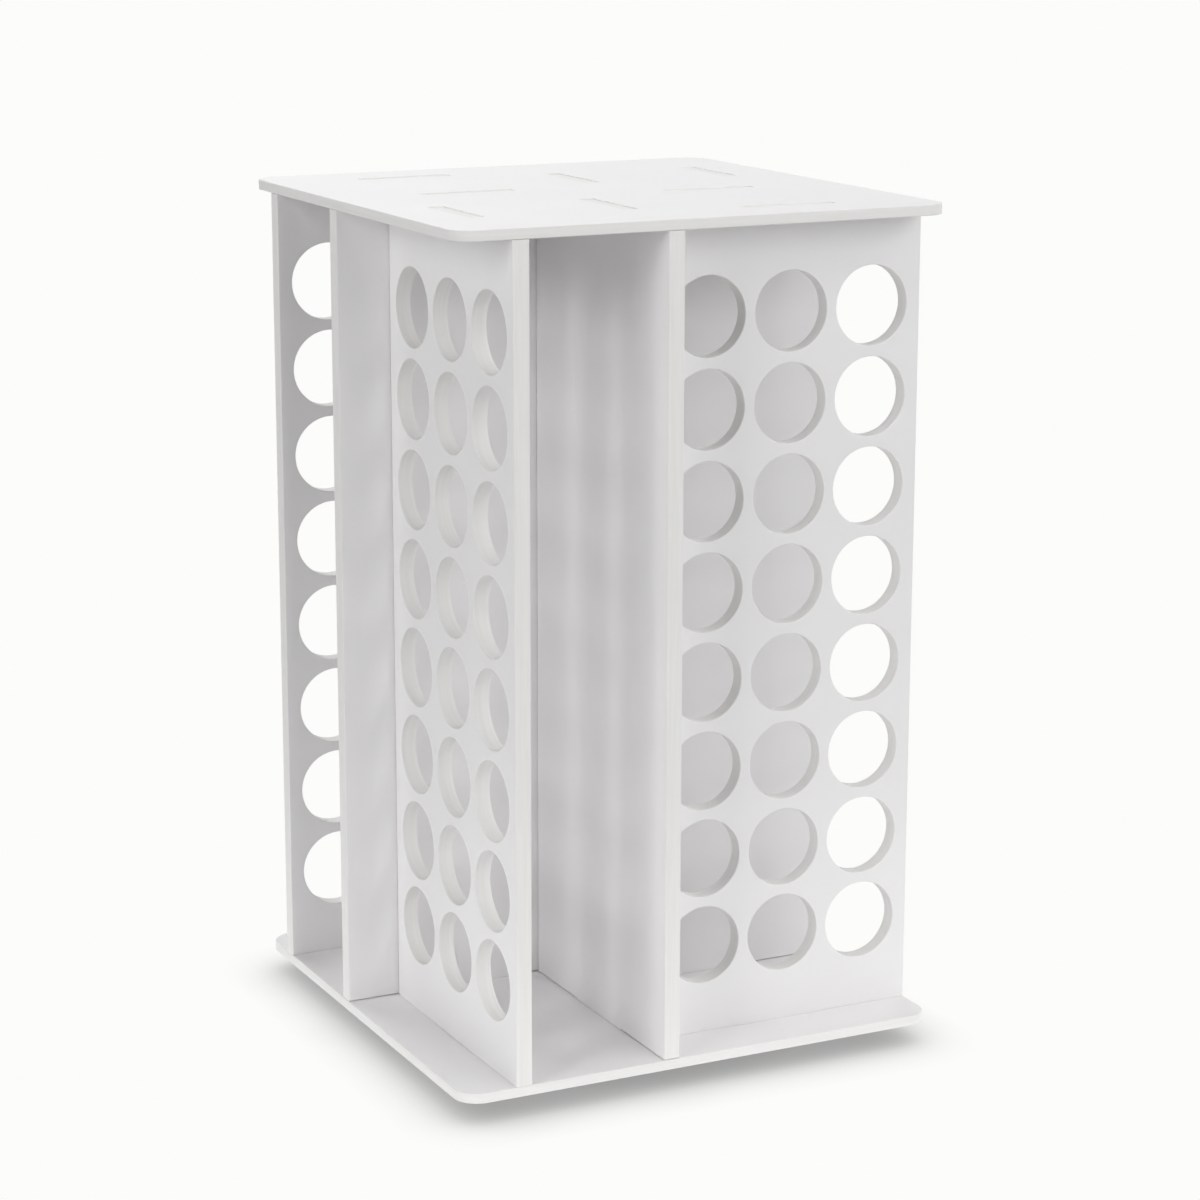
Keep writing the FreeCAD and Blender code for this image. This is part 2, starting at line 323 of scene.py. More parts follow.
def fill_lathe(plan: NodePlan, source: bpy.types.Node, target: bpy.types.Node) -> None:
    """Fine rings about the tower's axis, as a lathe tool leaves them.

    Args:
        plan: The group's nodes.
        source: The group's input node.
        target: The group's output node.
    """
    flat = plan.add("ShaderNodeVectorMath", operation="MULTIPLY")
    flat.inputs[1].default_value = (1.0, 1.0, 0.0)
    plan.link(source.outputs["Vector"], flat.inputs[0])
    radius = plan.add("ShaderNodeVectorMath", operation="LENGTH")
    plan.link(flat.outputs["Vector"], radius.inputs[0])
    rings = plan.add("ShaderNodeTexNoise", noise_dimensions="1D")
    rings.inputs["Scale"].default_value = RINGS_PER_METRE
    plan.link(radius.outputs["Value"], rings.inputs["W"])
    plan.link(rings.outputs["Fac"], target.inputs["Rings"])


VECTOR_IN = (("Vector", "Vector"),)
MOTTLE = SurfaceGroup("fine_mottle", VECTOR_IN, (("Cloud", "Float"), ("Grain", "Float")), fill_mottle)
LAYERS = SurfaceGroup("cut_layers", VECTOR_IN, (("Streak", "Float"), ("Cells", "Float")), fill_layers)
LATHE = SurfaceGroup("lathe_rings", VECTOR_IN, (("Rings", "Float"),), fill_lathe)


@dataclass(frozen=True)
class Finish:
    """A surface finish: two shades of one colour, a range of gloss and a depth of relief."""

    name: str
    light: Colour
    dark: Colour
    smooth: float
    rough: float
    relief: float

    def coordinates(self, plan: NodePlan) -> bpy.types.NodeSocket:
        """The coordinates that the pattern follows.

        Args:
            plan: The material's nodes.

        Returns:
            A vector in metres.
        """
        return plan.add("ShaderNodeTexCoord").outputs["Object"]

    def pattern(self, plan: NodePlan) -> tuple[bpy.types.NodeSocket, bpy.types.NodeSocket]:
        """The fields that vary the finish.

        Args:
            plan: The material's nodes.

        Returns:
            The field that shades the colour, and the one that sets gloss and relief.
        """
        mottle = MOTTLE.place(plan, self.coordinates(plan))
        return mottle.outputs["Cloud"], mottle.outputs["Grain"]

    def settle(self, shader: bpy.types.Node) -> None:
        """Set what is the same all over the surface."""

    def make(self) -> bpy.types.Material:
        """Build the material, or find it if it is there already.

        Returns:
            The finish's material.
        """
        made = bpy.data.materials.get(self.name)
        if made:
            return made
        material = bpy.data.materials.new(self.name)
        material.use_nodes = True
        plan = NodePlan(material.node_tree)
        shader = plan.add("ShaderNodeBsdfPrincipled")
        shade, fine = self.pattern(plan)
        plan.link(plan.ramp(shade, self.dark, self.light), shader.inputs["Base Color"])
        plan.link(plan.spread(fine, self.smooth, self.rough), shader.inputs["Roughness"])
        plan.link(plan.bump(fine, self.relief), shader.inputs["Normal"])
        self.settle(shader)
        plan.link(shader.outputs["BSDF"], plan.add("ShaderNodeOutputMaterial").inputs["Surface"])
        return material


@dataclass(frozen=True)
class SheetFinish(Finish):
    """A finish that follows the foam sheet it is on, whichever way the sheet stands."""

    def coordinates(self, plan: NodePlan) -> bpy.types.NodeSocket:
        """The sheet's own coordinates: along, across and into its thickness.

        Args:
            plan: The material's nodes.

        Returns:
            A vector in metres.
        """
        return plan.add("ShaderNodeAttribute", attribute_name=SHEET_SPACE).outputs["Vector"]

    def settle(self, shader: bpy.types.Node) -> None:
        """Foam board has a dull plastic gloss."""
        shader.inputs["IOR"].default_value = FOAM_BOARD_IOR


@dataclass(frozen=True)
class CutFinish(SheetFinish):
    """The cut edge of a foam sheet, with cutter lines and open cells."""

    def pattern(self, plan: NodePlan) -> tuple[bpy.types.NodeSocket, bpy.types.NodeSocket]:
        """Cutter lines shade the colour, and lines and cells together set the relief.

        Args:
            plan: The material's nodes.

        Returns:
            The field that shades the colour, and the one that sets gloss and relief.
        """
        layers = LAYERS.place(plan, self.coordinates(plan))
        streak, cells = layers.outputs["Streak"], layers.outputs["Cells"]
        return streak, plan.math("MULTIPLY", plan.math("ADD", streak, cells), 0.5)


@dataclass(frozen=True)
class BareMetal(Finish):
    """Polished or plated metal."""

    def settle(self, shader: bpy.types.Node) -> None:
        """Bare metal all over."""
        shader.inputs["Metallic"].default_value = 1.0


@dataclass(frozen=True)
class TurnedMetal(BareMetal):
    """Metal turned on a lathe about the tower's axis."""

    def pattern(self, plan: NodePlan) -> tuple[bpy.types.NodeSocket, bpy.types.NodeSocket]:
        """Soft clouds shade the colour, and tool rings set the gloss and relief.

        Args:
            plan: The material's nodes.

        Returns:
            The field that shades the colour, and the one that sets gloss and relief.
        """
        place = self.coordinates(plan)
        return MOTTLE.place(plan, place).outputs["Cloud"], LATHE.place(plan, place).outputs["Rings"]


SKIN = SheetFinish(
    "foam_board_skin", light=(0.913, 0.903, 0.906), dark=(0.895, 0.885, 0.888),
    smooth=0.42, rough=0.5, relief=0.01 * MM,
)
CUT_EDGE = CutFinish(
    "foam_board_cut_edge", light=(0.905, 0.898, 0.885), dark=(0.86, 0.854, 0.842),
    smooth=0.55, rough=0.75, relief=0.06 * MM,
)
ALUMINIUM = TurnedMetal(
    "turned_aluminium", light=(0.8, 0.8, 0.81), dark=(0.72, 0.72, 0.73),
    smooth=0.26, rough=0.42, relief=0.03 * MM,
)
NYLON = Finish(
    "cage_nylon", light=(0.82, 0.8, 0.74), dark=(0.74, 0.72, 0.66),
    smooth=0.38, rough=0.52, relief=0.02 * MM,
)
STEEL = BareMetal(
    "bearing_steel", light=(0.66, 0.66, 0.67), dark=(0.58, 0.58, 0.6),
    smooth=0.06, rough=0.12, relief=0.002 * MM,
)
ZINC = BareMetal(
    "zinc_plate", light=(0.68, 0.69, 0.71), dark=(0.56, 0.57, 0.59),
    smooth=0.24, rough=0.38, relief=0.01 * MM,
)
RUBBER = Finish(
    "foot_rubber", light=(0.045, 0.045, 0.047), dark=(0.028, 0.028, 0.03),
    smooth=0.62, rough=0.8, relief=0.04 * MM,
)


def of_kind(geometry: Iterable[object], kind: type) -> list:
    """Pick one kind of element from an operator's result.

    Args:
        geometry: Vertices, edges and faces.
        kind: The class to keep.

    Returns:
        The elements of that class.
    """
    return [item for item in geometry if isinstance(item, kind)]


def whole(bm: BMesh) -> list:
    """Every element of a mesh, as the operators take them."""
    return bm.verts[:] + bm.edges[:] + bm.faces[:]


def pull_border(bm: BMesh, axis: Axis, level: float, target: float,
                keep: Callable[[Vector], bool] = lambda middle: True) -> None:
    """Extrude the open border that lies at one level of a flat sheet out to another level.

    Args:
        bm: The flat sheet.
        axis: The direction that the border moves in.
        level: Where the border is.
        target: Where the new border goes.
        keep: Which edges to take, by their middle.
    """
    border = [
        edge for edge in bm.edges
        if edge.is_boundary
        and all(abs(vert.co[axis.value] - level) < WELD for vert in edge.verts)
        and keep((edge.verts[0].co + edge.verts[1].co) / 2)
    ]
    made = bmesh.ops.extrude_edge_only(bm, edges=border)["geom"]
    step = Vector((0.0, 0.0, 0.0))
    step[axis.value] = target - level
    bmesh.ops.translate(bm, verts=of_kind(made, BMVert), vec=step)


def cut_across(bm: BMesh, axis: Axis, level: float, faces: list[BMFace] | None = None) -> None:
    """Cut a flat sheet along a straight line.

    Args:
        bm: The flat sheet.
        axis: The direction that the line is square to.
        level: Where the line lies on that axis.
        faces: The faces to cut, or none for all.
    """
    normal = Vector((0.0, 0.0, 0.0))
    normal[axis.value] = 1.0
    if faces is None:
        geometry = whole(bm)
    else:
        geometry = list({item for face in faces for item in (face, *face.edges, *face.verts)})
    bmesh.ops.bisect_plane(bm, geom=geometry, dist=WELD, plane_co=normal * level, plane_no=normal)


def finish_piece(bm: BMesh, name: str, materials: Iterable[bpy.types.Material], body: Body,
                 node: str) -> bpy.types.Object:
    """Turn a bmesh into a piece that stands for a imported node.

    Args:
        bm: The finished shape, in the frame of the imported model.
        name: The piece's name.
        materials: Its materials, in the order of their slots.
        body: The body that it rides on.
        node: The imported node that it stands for.

    Returns:
        The piece.
    """
    mesh = bpy.data.meshes.new(name)
    bm.to_mesh(mesh)
    bm.free()
    for material in materials:
        mesh.materials.append(material)
    mesh.shade_smooth()
    mesh.set_sharp_from_angle(angle=SHARP_ANGLE)
    piece = bpy.data.objects.new(name, mesh)
    bpy.context.scene.collection.objects.link(piece)
    normals = piece.modifiers.new("flat_faces", "WEIGHTED_NORMAL")
    normals.keep_sharp = True
    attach(piece, body.value)
    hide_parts(node)
    LOG.info("%s: %d faces, rides on %s", name, len(mesh.polygons), body.value)
    return piece


@dataclass
class FoamSheet:
    """A piece cut from flat foam sheet: an outline with openings, thickened and with eased edges."""

    node: str
    thickness: float
    easing: float
    grain_place: float

    def draw(self, bm: BMesh) -> None:
        """Draw the flat outline at depth zero."""
        raise NotImplementedError

    def placement(self) -> Matrix:
        """Where the sheet goes: from along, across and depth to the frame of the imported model."""
        raise NotImplementedError

    def is_eased(self, edge: BMEdge) -> bool:
        """Tell if a corner is eased."""
        return True

    def thicken(self, bm: BMesh) -> None:
        """Give the flat outline its thickness and ease its corners.

        Args:
            bm: The flat outline.
        """
        raised = bmesh.ops.extrude_face_region(bm, geom=bm.faces[:])["geom"]
        bmesh.ops.translate(bm, verts=of_kind(raised, BMVert), vec=(0.0, 0.0, self.thickness))
        bmesh.ops.recalc_face_normals(bm, faces=bm.faces[:])
        corners = [
            edge for edge in bm.edges
            if edge.calc_face_angle(0.0) > CORNER_ANGLE and self.is_eased(edge)
        ]
        bmesh.ops.bevel(bm, geom=corners, offset=self.easing, offset_type="OFFSET", affect="EDGES",
                        segments=EASING_STEPS, profile=0.5, material=-1, clamp_overlap=False)

    def mark_surfaces(self, bm: BMesh) -> None:
        """Give faces their material slots, and vertices their place in the sheet.

        Args:
            bm: The thickened sheet, still lying flat.
        """
        for face in bm.faces:
            flat = abs(face.normal.z) > FLATNESS
            face.material_index = (Surface.SKIN if flat else Surface.EDGE).value
        place = bm.verts.layers.float_vector.new(SHEET_SPACE)
        shift = Vector((self.grain_place, self.grain_place, 0.0))
        for vert in bm.verts:
            vert[place] = vert.co + shift

    def build(self) -> bpy.types.Object:
        """Make the piece.

        Returns:
            The dressed piece.
        """
        bm = bmesh.new()
        self.draw(bm)
        self.thicken(bm)
        self.mark_surfaces(bm)
        bmesh.ops.transform(bm, matrix=self.placement(), verts=bm.verts[:])
        materials = (SKIN.make(), CUT_EDGE.make())
        return finish_piece(bm, f"{self.node}_sheet", materials, Body.TOWER, self.node)


@dataclass
class UprightBoard(FoamSheet):
    """A board that stands between the plates, with a tab at each end."""

    side: Side
    kind: BoardKind
    tab_length: float = 48 * MM
    foot_gap: float = 0.5 * MM
    head_gap: float = 0.1 * MM

    def __post_init__(self) -> None:
        """Read the board's place from the front board of its kind."""
        low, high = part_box(self.kind.node(Side.FRONT))
        self.start, self.end = low[0], high[0]
        self.back = high[1]
        self.tab_bottom, self.tab_top = low[2], high[2]
        self.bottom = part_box("base_plate")[1][2] + self.foot_gap
        self.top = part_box("top_plate")[0][2] - self.head_gap

    def is_eased(self, edge: BMEdge) -> bool:
        """Tell if a corner shows: shoulders and tabs that meet a plate stay sharp."""
        heights = [vert.co.y for vert in edge.verts]
        return max(heights) > self.bottom + WELD and min(heights) < self.top - WELD

    def draw_field(self, bm: BMesh) -> None:
        """Draw the board without its tabs.

        Args:
            bm: An empty mesh.
        """
        bmesh.ops.create_grid(bm, x_segments=1, y_segments=1, size=0.5)
        scale = (self.end - self.start, self.top - self.bottom, 1.0)
        bmesh.ops.scale(bm, vec=scale, verts=bm.verts[:])
        middle = ((self.start + self.end) / 2, (self.bottom + self.top) / 2, 0.0)
        bmesh.ops.translate(bm, vec=middle, verts=bm.verts[:])

    def draw(self, bm: BMesh) -> None:
        """Draw the board and pull a tab out of each end.

        Args:
            bm: An empty mesh.
        """
        self.draw_field(bm)
        middle = (self.start + self.end) / 2
        limits = (middle - self.tab_length / 2, middle + self.tab_length / 2)
        for level, target in ((self.bottom, self.tab_bottom), (self.top, self.tab_top)):
            for limit in limits:
                margin = [
                    face for face in bm.faces
                    if any(abs(vert.co.y - level) < WELD for vert in face.verts)
                ]
                cut_across(bm, Axis.ALONG, limit, margin)
            pull_border(bm, Axis.ACROSS, level, target, lambda spot: limits[0] < spot.x < limits[1])

    def placement(self) -> Matrix:
        """Stand the sheet up behind its back face and turn it to its side.

        Returns:
            The sheet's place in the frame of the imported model.
        """
        upright = Matrix.Rotation(math.pi / 2, 4, "X")
        return self.side.turn @ Matrix.Translation((0.0, self.back, 0.0)) @ upright


@dataclass
class RollPanel(UprightBoard):
    """A board with a grid of round holes for rolls, pressed home on the plates."""

    foot_gap: float = 0.1 * MM
    hole_diameter: float = 38 * MM
    hole_pitch: float = 43.2 * MM
    columns: int = 3
    rows: int = 8
    hole_sides: int = 64

    def draw_cell(self, bm: BMesh) -> None:
        """Draw one square of the grid with its hole, about the origin.

        Args:
            bm: An empty mesh.
        """
        bmesh.ops.create_grid(bm, x_segments=1, y_segments=1, size=self.hole_pitch / 2)
        bmesh.ops.delete(bm, geom=bm.faces[:], context="FACES_ONLY")
        bmesh.ops.subdivide_edges(bm, edges=bm.edges[:], cuts=self.hole_sides // 4 - 1)
        bmesh.ops.create_circle(bm, segments=self.hole_sides, radius=self.hole_diameter / 2)
        bmesh.ops.bridge_loops(bm, edges=bm.edges[:])

    def draw_field(self, bm: BMesh) -> None:
        """Repeat the cell over the grid, then pull its borders out to the board's edges.

        Args:
            bm: An empty mesh.
        """
        self.draw_cell(bm)
        cell = whole(bm)
        middle = Vector(((self.start + self.end) / 2, (self.bottom + self.top) / 2, 0.0))
        first = middle - Vector((self.columns - 1, self.rows - 1, 0.0)) * self.hole_pitch / 2
        for column in range(self.columns):
            for row in range(self.rows):
                copy = bmesh.ops.duplicate(bm, geom=cell)["geom"]
                spot = first + Vector((column, row, 0.0)) * self.hole_pitch
                bmesh.ops.translate(bm, vec=spot, verts=of_kind(copy, BMVert))
        bmesh.ops.delete(bm, geom=of_kind(cell, BMVert), context="VERTS")
        bmesh.ops.remove_doubles(bm, verts=bm.verts[:], dist=WELD)
        half = self.hole_pitch / 2
        last = middle * 2 - first
        pull_border(bm, Axis.ALONG, first.x - half, self.start)
        pull_border(bm, Axis.ALONG, last.x + half, self.end)
        pull_border(bm, Axis.ACROSS, first.y - half, self.bottom)
        pull_border(bm, Axis.ACROSS, last.y + half, self.top)


@dataclass
class SquarePlate(FoamSheet):
    """The top or base plate: rounded corners and a slot for every board's tab."""

    corner_radius: float = 12 * MM
    corner_steps: int = 12
    slot_length: float = 48.3 * MM
    slot_width: float = 8.3 * MM

    def slots(self) -> list[tuple[Vector, Vector]]:
        """Find the slots from the boards that plug into them.

        Returns:
            The lowest and highest corner of each slot.
        """
        found = []
        for kind in BoardKind:
            low, high = (Vector(corner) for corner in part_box(kind.node(Side.FRONT)))
            middle = (low + high) / 2
            reach = Vector((self.slot_length / 2, self.slot_width / 2, 0.0))
            for side in Side:
                ends = [side.turn @ (middle + reach * sign) for sign in (-1, 1)]
                pair = [Vector(map(pick, *ends)) for pick in (min, max)]
                found.append((pair[0], pair[1]))
        return found

    def draw(self, bm: BMesh) -> None:
        """Draw the plate, round its corners and open its slots.

        Args:
            bm: An empty mesh.
        """
        low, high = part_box(self.node)
        bmesh.ops.create_grid(bm, x_segments=1, y_segments=1, size=(high[0] - low[0]) / 2)
        bmesh.ops.bevel(bm, geom=bm.verts[:], offset=self.corner_radius, offset_type="OFFSET",
                        affect="VERTICES", segments=self.corner_steps, profile=0.5, material=-1)
        slots = self.slots()
        for axis in Axis:
            levels = {round(corner[axis.value], WELD_DECIMALS) for slot in slots for corner in slot}
            for level in sorted(levels):
                cut_across(bm, axis, level)
        inside = [
            face for face in bm.faces
            if any(self.covers(slot, face.calc_center_median()) for slot in slots)
        ]
        bmesh.ops.delete(bm, geom=inside, context="FACES")

    @staticmethod
    def covers(slot: tuple[Vector, Vector], spot: Vector) -> bool:
        """Tell if a point lies inside a slot."""
        return all(slot[0][axis.value] < spot[axis.value] < slot[1][axis.value] for axis in Axis)

    def placement(self) -> Matrix:
        """Lift the sheet to the plate's underside.

        Returns:
            The sheet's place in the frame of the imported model.
        """
        return Matrix.Translation((0.0, 0.0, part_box(self.node)[0][2]))


@dataclass
class SwivelScrew:
    """A countersunk screw with a cross recess, its head facing the floor."""

    number: int
    rim: float = 0.2 * MM
    arm_width: float = 1.0 * MM
    arm_reach: float = 2.1 * MM
    recess_depth: float = 1.5 * MM
    recess_taper: float = 0.6
    head_radius: float = 4 * MM
    shank_radius: float = 2 * MM
    tip: float = 0.8 * MM
    sides: int = 48

    def cut_recess(self, bm: BMesh) -> None:
        """Press the cross recess into the head's face.

        Args:
            bm: The flat face of the head.
        """
        for axis in Axis:
            for level in (self.arm_reach, self.arm_width / 2):
                cut_across(bm, axis, level)
                cut_across(bm, axis, -level)
        short, long = self.arm_width / 2, self.arm_reach
        cross = []
        for face in bm.faces:
            spot = face.calc_center_median()
            reach = sorted((abs(spot.x), abs(spot.y)))
            if reach[0] < short and reach[1] < long:
                cross.append(face)
        pressed = bmesh.ops.extrude_face_region(bm, geom=cross)["geom"]
        bmesh.ops.delete(bm, geom=cross, context="FACES")
        verts = of_kind(pressed, BMVert)
        bmesh.ops.translate(bm, verts=verts, vec=(0.0, 0.0, self.recess_depth))
        bmesh.ops.scale(bm, verts=verts, vec=(self.recess_taper, self.recess_taper, 1.0))

    def raise_body(self, bm: BMesh, length: float) -> None:
        """Raise the rim, the cone, the shank and the tip from the face's border.

        Args:
            bm: The head's face with its recess.
            length: The screw's whole length.
        """
        sink = self.head_radius - self.shank_radius
        rings = (
            (self.head_radius, self.rim),
            (self.shank_radius, sink),
            (self.shank_radius, length - self.tip),
            (self.shank_radius - self.tip, length),
        )
        border = [edge for edge in bm.edges if edge.is_boundary]
        radius, height = self.head_radius - self.rim, 0.0
        for next_radius, next_height in rings:
            made = bmesh.ops.extrude_edge_only(bm, edges=border)["geom"]
            verts, border = of_kind(made, BMVert), of_kind(made, BMEdge)
            border = [edge for edge in border if edge.is_boundary]
            grow = next_radius / radius
            bmesh.ops.scale(bm, verts=verts, vec=(grow, grow, 1.0))
            bmesh.ops.translate(bm, verts=verts, vec=(0.0, 0.0, next_height - height))
            radius, height = next_radius, next_height
        bmesh.ops.contextual_create(bm, geom=border)

    def build(self) -> bpy.types.Object:
        """Make the screw.

        Returns:
            The dressed piece.
        """
        node = f"swivel_screw_{self.number}"
        low, high = (Vector(corner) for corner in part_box(node))
        bm = bmesh.new()
        face_radius = self.head_radius - self.rim
        bmesh.ops.create_circle(bm, cap_ends=True, segments=self.sides, radius=face_radius)
        self.cut_recess(bm)
        self.raise_body(bm, high.z - low.z)
        bmesh.ops.recalc_face_normals(bm, faces=bm.faces[:])
        middle = (low + high) / 2
        bmesh.ops.translate(bm, verts=bm.verts[:], vec=(middle.x, middle.y, low.z))
        return finish_piece(bm, f"{node}_turned", (ZINC.make(),), Body.TOWER, node)


@dataclass
class RubberFoot:
    """A moulded foot: a dished sole with a rounded rim, and a peg that plugs into the ring."""

    number: int
    radius: float = 6 * MM
    rounding: float = 0.8 * MM
    dish_radius: float = 3 * MM
    dish_depth: float = 0.5 * MM
    peg_radius: float = 2.5 * MM
    peg_easing: float = 0.4 * MM
    easing_steps: int = 4
    sides: int = 48

    def build(self) -> bpy.types.Object:
        """Make the foot.

        Returns:
            The dressed piece.
        """
        node = f"rubber_foot_{self.number}"
        low, high = (Vector(corner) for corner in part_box(node))
        sole_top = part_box("swivel_outer_ring")[0][2]
        bm = bmesh.new()
        corners = (
            (0.0, self.dish_depth, 0.0),
            (self.dish_radius - self.dish_depth, self.dish_depth, 0.0),
            (self.dish_radius, 0.0, 0.0),
            (self.radius, 0.0, self.rounding),
            (self.radius, sole_top, 0.0),
            (self.peg_radius, sole_top, 0.0),
            (self.peg_radius, high.z, self.peg_easing),
            (0.0, high.z, 0.0),
        )
        verts = [bm.verts.new((across, 0.0, up)) for across, up, _ in corners]
        for pair in zip(verts, verts[1:]):
            bm.edges.new(pair)
        for vert, (_, _, easing) in zip(verts, corners):
            if easing:
                bmesh.ops.bevel(bm, geom=[vert], offset=easing, offset_type="OFFSET", affect="VERTICES",
                                segments=self.easing_steps, profile=0.5, material=-1)
        bmesh.ops.spin(bm, geom=bm.verts[:] + bm.edges[:], cent=(0.0, 0.0, 0.0), axis=(0.0, 0.0, 1.0),
                       angle=math.tau, steps=self.sides, use_merge=True)
        bmesh.ops.remove_doubles(bm, verts=bm.verts[:], dist=WELD)
        bmesh.ops.recalc_face_normals(bm, faces=bm.faces[:])
        middle = (low + high) / 2
        bmesh.ops.translate(bm, verts=bm.verts[:], vec=(middle.x, middle.y, 0.0))
        return finish_piece(bm, f"{node}_moulded", (RUBBER.make(),), Body.STAND, node)


@dataclass
class BallRing:
    """The swivel under the base plate: packed rings, cage and balls, with new screws and feet."""

    screw_count: int = 4
    foot_count: int = 6

    def dress_nodes(self) -> None:
        """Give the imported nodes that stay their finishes."""
        finishes = {
            "swivel_outer_ring": ALUMINIUM,
            "swivel_inner_ring": ALUMINIUM,
            "ball_cage": NYLON,
            "bearing_balls": STEEL,
        }
        for node, finish in finishes.items():
            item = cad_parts[node]
            for place in item.material_slots:
                place.material = finish.make()
            LOG.info("%s: packed shape in %s", node, finish.name)

    def build(self) -> None:
        """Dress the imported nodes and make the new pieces."""
        self.dress_nodes()
        for number in range(1, self.screw_count + 1):
            SwivelScrew(number).build()
        for number in range(1, self.foot_count + 1):
            RubberFoot(number).build()


@dataclass
class Tower:
    """The turning part: two plates and the boards between them."""

    plate_easing: float = 0.5 * MM
    board_easing: float = 0.5 * MM
    grain_step: float = 0.7

    def build(self) -> None:
        """Make the plates and boards, each with its own stretch of grain."""
        pieces = 0
        for node in ("base_plate", "top_plate"):
            low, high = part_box(node)
            place = pieces * self.grain_step
            SquarePlate(node, high[2] - low[2], self.plate_easing, place).build()
            pieces += 1
        for kind, board in ((BoardKind.ROLL_PANEL, RollPanel), (BoardKind.DIVIDER, UprightBoard)):
            low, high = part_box(kind.node(Side.FRONT))
            for side in Side:
                place = pieces * self.grain_step
                board(kind.node(side), high[1] - low[1], self.board_easing, place, side, kind).build()
                pieces += 1


def bearing(azimuth: float, elevation: float) -> Vector:
    """Find a direction out from the tower.

    Args:
        azimuth: Degrees round from the front, towards the right side.
        elevation: Degrees above the floor.

    Returns:
        A vector of length one.
    """
    turn, rise = math.radians(azimuth), math.radians(elevation)
    return Vector((math.sin(turn) * math.cos(rise), -math.cos(turn) * math.cos(rise), math.sin(rise)))


@dataclass(frozen=True)
class Softbox:
    """A light panel, out of the eye's sight, that faces its aim from a bearing and a distance.

    Surfaces with a sheen show the panel only if it is mirrored.
    """

    name: str
    azimuth: float
    elevation: float
    power: float
    width: float = 1.6
    height: float = 1.6
    distance: float = 2.4
    aim: Point = (0.0, 0.0, 0.2)
    mirrored: bool = False

    def build(self) -> bpy.types.Object:
        """Hang the light.

        Returns:
            The light.
        """
        data = bpy.data.lights.new(self.name, "AREA")
        data.shape = "RECTANGLE"
        data.size, data.size_y = self.width, self.height
        data.energy = self.power
        light = bpy.data.objects.new(self.name, data)
        back = bearing(self.azimuth, self.elevation)
        light.location = Vector(self.aim) + back * self.distance
        light.rotation_euler = (-back).to_track_quat("-Z", "Y").to_euler()
        light.visible_camera = False
        light.visible_glossy = self.mirrored
        bpy.context.scene.collection.objects.link(light)
        return light


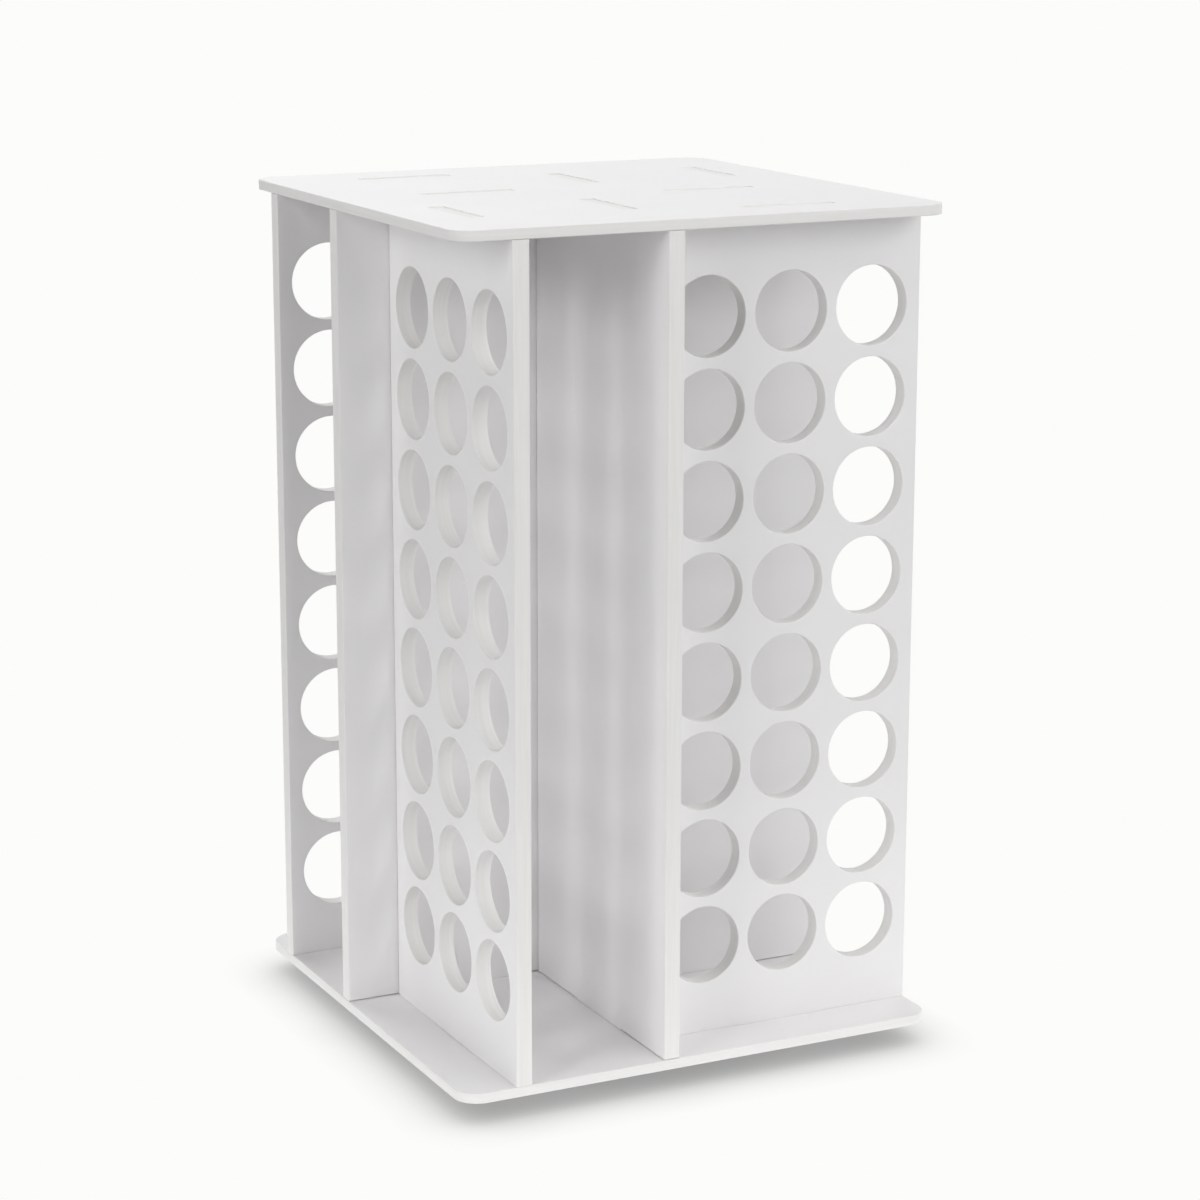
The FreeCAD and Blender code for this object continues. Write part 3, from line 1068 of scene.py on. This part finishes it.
@dataclass(frozen=True)
class Studio:
    """The pale floor, the white room round it and the lights."""

    white: Colour = (0.974, 0.974, 0.965)
    floor_colour: Colour = (0.4, 0.4, 0.397)
    floor_radius: float = 4.0
    floor_sides: int = 96
    # Reach and darkness of the painted shadow round the base, drawn from ambient occlusion.
    shadow_reach: float = 0.03
    shadow_depth: float = 0.27
    room_light: float = 0.01
    softboxes: tuple[Softbox, ...] = (
        Softbox("softbox_front", azimuth=10.0, elevation=20.0, power=16.3, width=1.4, height=1.4),
        Softbox("softbox_front_right", azimuth=45.0, elevation=30.0, power=15.2),
        Softbox("softbox_right", azimuth=90.0, elevation=30.0, power=11.8),
        Softbox("softbox_back", azimuth=180.0, elevation=50.0, power=27.0, mirrored=True),
        Softbox("softbox_high", azimuth=20.0, elevation=60.0, power=3.2, mirrored=True),
        Softbox("strip_front_left", azimuth=-62.0, elevation=25.0, power=12.6, width=0.45),
        Softbox("strip_left", azimuth=-75.0, elevation=20.0, power=10.8, width=0.45),
        Softbox("strip_back_left", azimuth=-100.0, elevation=15.0, power=4.2, width=0.45),
        # The card lies just above the floor and faces up.
        Softbox("bounce_card", azimuth=0.0, elevation=-90.0, power=0.88, width=0.68, height=0.68,
                distance=0.198, mirrored=True),
    )

    def share(self, plan: NodePlan, light: bpy.types.NodeSocket, sight: bpy.types.NodeSocket,
              target: bpy.types.NodeSocket) -> None:
        """Give one shader to the eye and to mirrors, and another to everything else.

        Args:
            plan: The nodes of the floor or the world.
            light: The shader that lights the tower.
            sight: The shader that is seen.
            target: The surface that takes both.
        """
        path = plan.add("ShaderNodeLightPath").outputs
        glossy = plan.math("MAXIMUM", path["Is Glossy Ray"], path["Is Transmission Ray"])
        choice = plan.add("ShaderNodeMixShader")
        plan.link(plan.math("MAXIMUM", path["Is Camera Ray"], glossy), choice.inputs["Fac"])
        plan.link(light, choice.inputs[1])
        plan.link(sight, choice.inputs[2])
        plan.link(choice.outputs["Shader"], target)

    def light_room(self) -> None:
        """Make the world: plain white to the eye, soft light to everything else."""
        world = bpy.data.worlds.new("white_room")
        world.use_nodes = True
        bpy.context.scene.world = world
        plan = NodePlan(world.node_tree)
        light, sight = plan.add("ShaderNodeBackground"), plan.add("ShaderNodeBackground")
        light.inputs["Color"].default_value = (1.0, 1.0, 1.0, 1.0)
        light.inputs["Strength"].default_value = self.room_light
        sight.inputs["Color"].default_value = (*self.white, 1.0)
        target = plan.add("ShaderNodeOutputWorld").inputs["Surface"]
        self.share(plan, light.outputs["Background"], sight.outputs["Background"], target)

    def floor_material(self) -> bpy.types.Material:
        """Make a floor that looks as white as the room, apart from a painted shadow round the base in
        its seen colour.

        It gives back less light than it shows, so the bays stay deep.

        Returns:
            The floor's material.
        """
        material = bpy.data.materials.new("pale_floor")
        material.use_nodes = True
        plan = NodePlan(material.node_tree)
        matt, sight = plan.add("ShaderNodeBsdfDiffuse"), plan.add("ShaderNodeEmission")
        matt.inputs["Color"].default_value = (*self.floor_colour, 1.0)
        sight.inputs["Color"].default_value = (*self.white, 1.0)
        # Painted shadow: the seen glow darkens where ambient occlusion finds the base close, not where
        # the lamps cast shade.
        painted_shadow_ao = plan.add("ShaderNodeAmbientOcclusion")
        painted_shadow_ao.inputs["Distance"].default_value = self.shadow_reach
        open_share = plan.math("MULTIPLY", painted_shadow_ao.outputs["AO"], 1.0 - self.shadow_depth)
        plan.link(plan.math("ADD", open_share, self.shadow_depth), sight.inputs["Strength"])
        target = plan.add("ShaderNodeOutputMaterial").inputs["Surface"]
        self.share(plan, matt.outputs["BSDF"], sight.outputs["Emission"], target)
        return material

    def lay_floor(self) -> None:
        """Lay a round floor under the tower."""
        bm = bmesh.new()
        bmesh.ops.create_circle(bm, cap_ends=True, segments=self.floor_sides, radius=self.floor_radius)
        mesh = bpy.data.meshes.new("studio_floor")
        bm.to_mesh(mesh)
        bm.free()
        mesh.materials.append(self.floor_material())
        floor = bpy.data.objects.new("studio_floor", mesh)
        bpy.context.scene.collection.objects.link(floor)

    def build(self) -> None:
        """Set the stage."""
        bpy.context.scene.view_settings.view_transform = "Standard"
        self.light_room()
        self.lay_floor()
        for softbox in self.softboxes:
            softbox.build()


@dataclass(frozen=True)
class StudioCamera:
    """The camera at the photograph's viewing angle, with its focal length in pixels of the frame."""

    target: Point = (0.006, 0.0003, 0.209)
    azimuth: float = -26.39
    elevation: float = 13.21
    roll: float = 0.084
    distance: float = 1.61
    clip_start: float = 0.01
    focal_pixels: float = 3264.0
    frame_pixels: float = 1200.0
    sensor: float = 36.0

    def build(self) -> bpy.types.Object:
        """Set up the camera.

        Returns:
            The camera.
        """
        data = bpy.data.cameras.new("studio_camera")
        data.sensor_width = self.sensor
        data.lens = self.focal_pixels / self.frame_pixels * self.sensor
        data.clip_start = self.clip_start
        camera = bpy.data.objects.new("studio_camera", data)
        back = bearing(self.azimuth, self.elevation)
        camera.location = Vector(self.target) + back * self.distance
        aim = (-back).to_track_quat("-Z", "Y").to_matrix()
        camera.rotation_euler = (aim @ Matrix.Rotation(math.radians(self.roll), 3, "Z")).to_euler()
        bpy.context.scene.collection.objects.link(camera)
        bpy.context.scene.camera = camera
        return camera


def main() -> None:
    """Build the tower and its swivel, then the studio and the camera."""
    logging.basicConfig(level=logging.INFO, format="%(name)s %(message)s")
    Tower().build()
    BallRing().build()
    Studio().build()
    StudioCamera().build()


if __name__ == "__main__":
    main()
